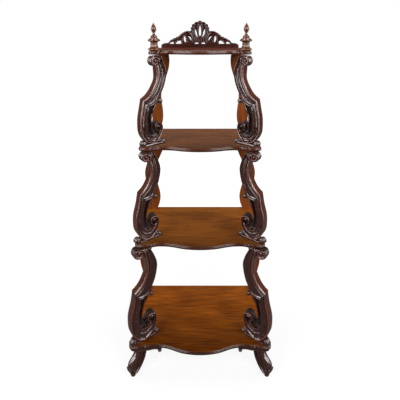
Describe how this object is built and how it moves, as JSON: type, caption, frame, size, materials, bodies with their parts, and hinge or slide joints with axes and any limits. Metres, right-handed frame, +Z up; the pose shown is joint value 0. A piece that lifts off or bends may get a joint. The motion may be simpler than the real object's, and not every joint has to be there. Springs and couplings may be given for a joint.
{
  "type": "etagere",
  "caption": "Free-standing Victorian etagere with shaped open shelves on carved scroll supports, waved rear boards, a pierced gallery, turned finials and scroll feet.",
  "frame": {"origin": "on the floor under the middle of the bounding box", "axes": "+X to the right seen from the front, +Y to the back (the gallery stands at +Y), +Z up"},
  "size_m": [0.6422, 0.424, 1.48],
  "materials": {
    "shelf_board": "french polished figured mahogany",
    "carved_wood": "dark french polish, high gloss",
    "board_wood": "satin polish",
    "gallery_wood": "dark polish",
    "turned_wood": "gloss polish",
    "dowel_wood": "bare beech",
    "screw_steel": "plain steel"
  },
  "bodies": {
    "root": {"shelf_bottom": "shelf_board", "shelf_lower": "shelf_board", "shelf_upper": "shelf_board", "shelf_top": "shelf_board", "gallery_rail": "gallery_wood", "gallery_crest": "gallery_wood", "gallery_screws": "screw_steel", "finial_right": "turned_wood", "finial_left": "turned_wood", "scroll_plinth_lower_right": "carved_wood", "front_support_lower_right": "carved_wood", "rear_support_lower_right": "board_wood", "scroll_plinth_lower_left": "carved_wood", "front_support_lower_left": "carved_wood", "rear_support_lower_left": "board_wood", "scroll_plinth_middle_right": "carved_wood", "front_support_middle_right": "carved_wood", "rear_support_middle_right": "board_wood", "scroll_plinth_middle_left": "carved_wood", "front_support_middle_left": "carved_wood", "rear_support_middle_left": "board_wood", "scroll_plinth_upper_right": "carved_wood", "front_support_upper_right": "carved_wood", "rear_support_upper_right": "board_wood", "scroll_plinth_upper_left": "carved_wood", "front_support_upper_left": "carved_wood", "rear_support_upper_left": "board_wood", "support_dowels": "dowel_wood", "board_dowels": "dowel_wood", "front_foot_right": "carved_wood", "front_peg_right": "turned_wood", "front_foot_left": "carved_wood", "front_peg_left": "turned_wood", "rear_foot_right": "carved_wood", "rear_peg_right": "turned_wood", "rear_foot_left": "carved_wood", "rear_peg_left": "turned_wood", "foot_dowels": "dowel_wood", "corner_bracket_right": "carved_wood", "corner_bracket_left": "carved_wood"}
  },
  "joints": []
}
